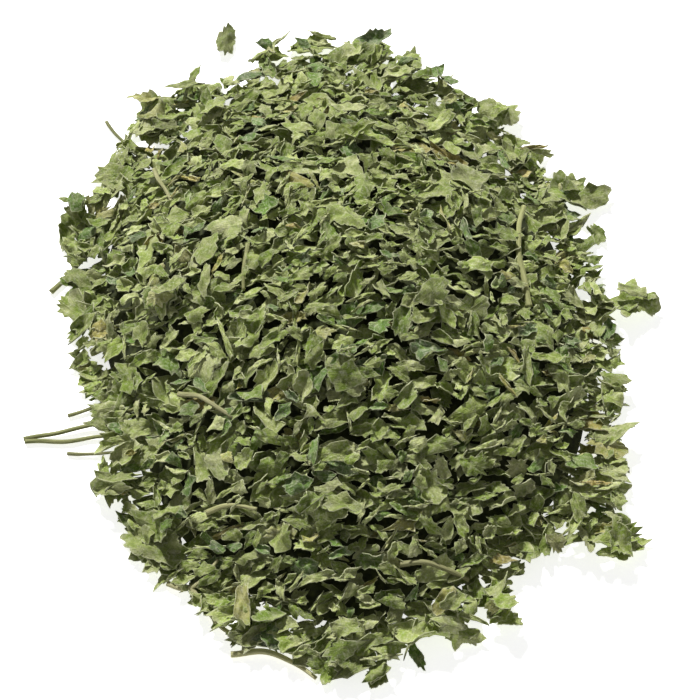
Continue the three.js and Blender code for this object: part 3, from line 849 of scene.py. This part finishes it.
def stem_material():
    """Dry stem: straw to olive in lengthwise streaks."""
    n = Nodes("dried_stem")
    leaf = n.attribute("leaf")
    hue, light, _ = n.split(n.attribute("tone"))
    stretched = n.make("ShaderNodeMapping", {"Vector": leaf, "Scale": (0.25, 2.2, 1.0)}).outputs[0]
    streaks = n.noise(stretched, 1.0, 4.0)
    blend = n.math("ADD", n.math("MULTIPLY", streaks, 0.7), n.math("MULTIPLY", hue, 0.35))
    base = n.ramp(blend, [(0.25, (118, 124, 72)), (0.5, (160, 160, 108)), (0.75, (200, 194, 150))])
    value = n.math("ADD", 0.62, n.math("MULTIPLY", light, 0.5))
    color = n.make("ShaderNodeHueSaturation", {"Color": base, "Value": value}).outputs[0]
    n.set(n.shader.inputs["Base Color"], color)
    n.set(n.shader.inputs["Roughness"], 0.68)
    n.set(n.shader.inputs["Specular IOR Level"], 0.3)
    bump = n.make("ShaderNodeBump", {"Height": streaks, "Strength": 0.7, "Distance": 0.0002})
    n.set(n.shader.inputs["Normal"], bump.outputs[0])
    return n.material


def painted_shade_core_material():
    """Painted shade for the inside of the heap: crumbs of dark green, as dark as the shadow between the
    flakes.
    """
    n = Nodes("painted_shade_inside")
    place = n.make("ShaderNodeTexCoord").outputs["Object"]
    crumbs = n.noise(place, 900.0, 3.0)
    # painted shade: these colours stand for the shadow deep in the heap, not for the flakes' own green
    color = n.ramp(crumbs, [(0.35, (32, 37, 10)), (0.7, (66, 73, 26))])
    n.set(n.shader.inputs["Base Color"], color)
    n.set(n.shader.inputs["Roughness"], 0.9)
    return n.material


def floor_material():
    """A white matt board, with the faintest mottle."""
    n = Nodes("white_board")
    place = n.make("ShaderNodeTexCoord").outputs["Object"]
    grain = n.noise(place, 60.0, 3.0)
    color = n.ramp(grain, [(0.3, (250, 250, 250)), (0.7, (255, 255, 255))])
    n.set(n.shader.inputs["Base Color"], color)
    n.set(n.shader.inputs["Roughness"], 0.8)
    n.set(n.shader.inputs["Emission Color"], (1.0, 1.0, 1.0, 1.0))
    n.set(n.shader.inputs["Emission Strength"], BOARD_GLOW)
    return n.material


def place_leaves(heights):
    """The larger leaf pieces of the heap in their places, which are kept free of small flakes."""
    rows = [(f"rim_leaf_{k:02d}", row) for k, row in enumerate(RIM_LEAVES, 1)]
    rows += [(f"top_leaf_{k:02d}", row) for k, row in enumerate(TOP_LEAVES, 1)]
    leaves = []
    for seed, (name, row) in enumerate(rows):
        placed, faces, uv, mask = leaf_piece(row, seed)
        drop = REST_GAP - placed[:, 2].min()
        off_the_mound = foot_share(row[0], row[1]) >= 1
        placed[:, 2] += drop if off_the_mound else max(0, drop)
        heights.reserve(dense(placed))
        leaves.append((name, placed, faces, uv, mask))
    return leaves


def place_stems(heights):
    """A pile for each stem, with the place of what shows of it kept free of small flakes."""
    piles = []
    for radius, arms in STEMS:
        pile = Pile()
        tone = draw_tone()
        for knots in arms:
            points, faces, uv, mask = stem_arm(knots, radius)
            points[:, 2] += max(0, REST_GAP - points[:, 2].min())
            high = points[points[:, 2] > mound_height(points[:, 0], points[:, 1]) - 0.2]
            if len(high):
                heights.reserve(high, 0.1)
            pile.add(points, faces, uv, tone, mask)
        piles.append(pile)
    return piles


def make_flake_pieces(laid, material):
    least, most = SLIVER_HUES
    for first in range(0, len(laid), FLAKES_A_PIECE):
        pile = Pile()
        for points, faces, uv, mask, kind in laid[first:first + FLAKES_A_PIECE]:
            tone = draw_tone(KIND_PALENESS[kind])
            if kind == SLIVERS:
                tone[0] = least + (most - least) * tone[0]
            pile.add(points, faces, uv, tone, mask)
        name = f"flakes_{first // FLAKES_A_PIECE + 1}"
        piece_from(name, pile, material, ["flake_heap"])


def make_stray_pieces(material):
    """The flakes that lie on the table by themselves."""
    for k, row in enumerate(STRAY_FLAKES):
        placed, faces, uv, mask = leaf_piece(row, STRAY_SEED + k)
        placed[:, 2] -= placed[:, 2].min() - REST_GAP
        pile = Pile()
        pile.add(placed, faces, uv, draw_tone(), mask)
        piece_from(f"stray_piece_{k + 1}", pile, material, [f"stray_flake_{k + 1}"])


def build_heap(leaf, stem, core):
    heights = HeightMap()
    leaves = place_leaves(heights)
    stems = place_stems(heights)
    laid = lay_fringe(heights) + lay_flakes(heights)
    for name, placed, *_ in leaves:
        laid += dress_leaf(heights, placed, LEAF_ROOTS if name.startswith("rim") else 0)
    make_flake_pieces(laid, leaf)
    piece_from("painted_shade_inside", core_pile(), core, ["flake_heap"])
    for name, placed, faces, uv, mask in leaves:
        pile = Pile()
        hue, light = draw_tone(0.06)
        pile.add(placed, faces, uv, [0.2 + 0.55 * hue, light], mask)
        piece_from(name.replace("leaf", "leaf_piece"), pile, leaf, [name])
    for k, pile in enumerate(stems, 1):
        piece_from(f"stem_piece_{k:02d}", pile, stem, [f"stem_{k:02d}"])
    make_stray_pieces(leaf)


def build_stage():
    bpy.ops.mesh.primitive_plane_add(size=BOARD_SIZE, location=(0, 0, 0))
    floor = bpy.context.object
    floor.name = "floor"
    floor.data.materials.append(floor_material())


def build_light():
    world = bpy.data.worlds.new("soft_room")
    bpy.context.scene.world = world
    world.use_nodes = True
    background = world.node_tree.nodes["Background"]
    background.inputs["Color"].default_value = (1, 1, 1, 1)
    background.inputs["Strength"].default_value = ROOM_LIGHT
    sun = bpy.data.objects.new("key", bpy.data.lights.new("key", "SUN"))
    sun.data.energy = SUN_LIGHT
    sun.data.angle = math.radians(SUN_SIZE)
    bpy.context.scene.collection.objects.link(sun)
    sun.rotation_mode = "QUATERNION"
    sun.rotation_quaternion = Vector(SUN_FROM).to_track_quat("Z", "Y")


def build_camera():
    elevation = math.radians(CAMERA_ELEVATION)
    back = Vector((0, -math.cos(elevation), math.sin(elevation)))
    target = Vector(LOOK_AT) - Vector((*MIDDLE, 0))
    camera = bpy.data.objects.new("camera", bpy.data.cameras.new("camera"))
    camera.data.sensor_width = SENSOR
    camera.data.lens = SENSOR * CAMERA_DISTANCE / VIEW_WIDTH
    camera.location = (target + back * CAMERA_DISTANCE) * MM
    camera.rotation_mode = "QUATERNION"
    camera.rotation_quaternion = back.to_track_quat("Z", "Y")
    camera.data.clip_start = 0.01
    camera.data.clip_end = 10
    bpy.context.scene.collection.objects.link(camera)
    bpy.context.scene.camera = camera


bpy.context.scene.view_settings.view_transform = "Standard"
build_camera()
build_heap(leaf_material(), stem_material(), painted_shade_core_material())
build_stage()
build_light()
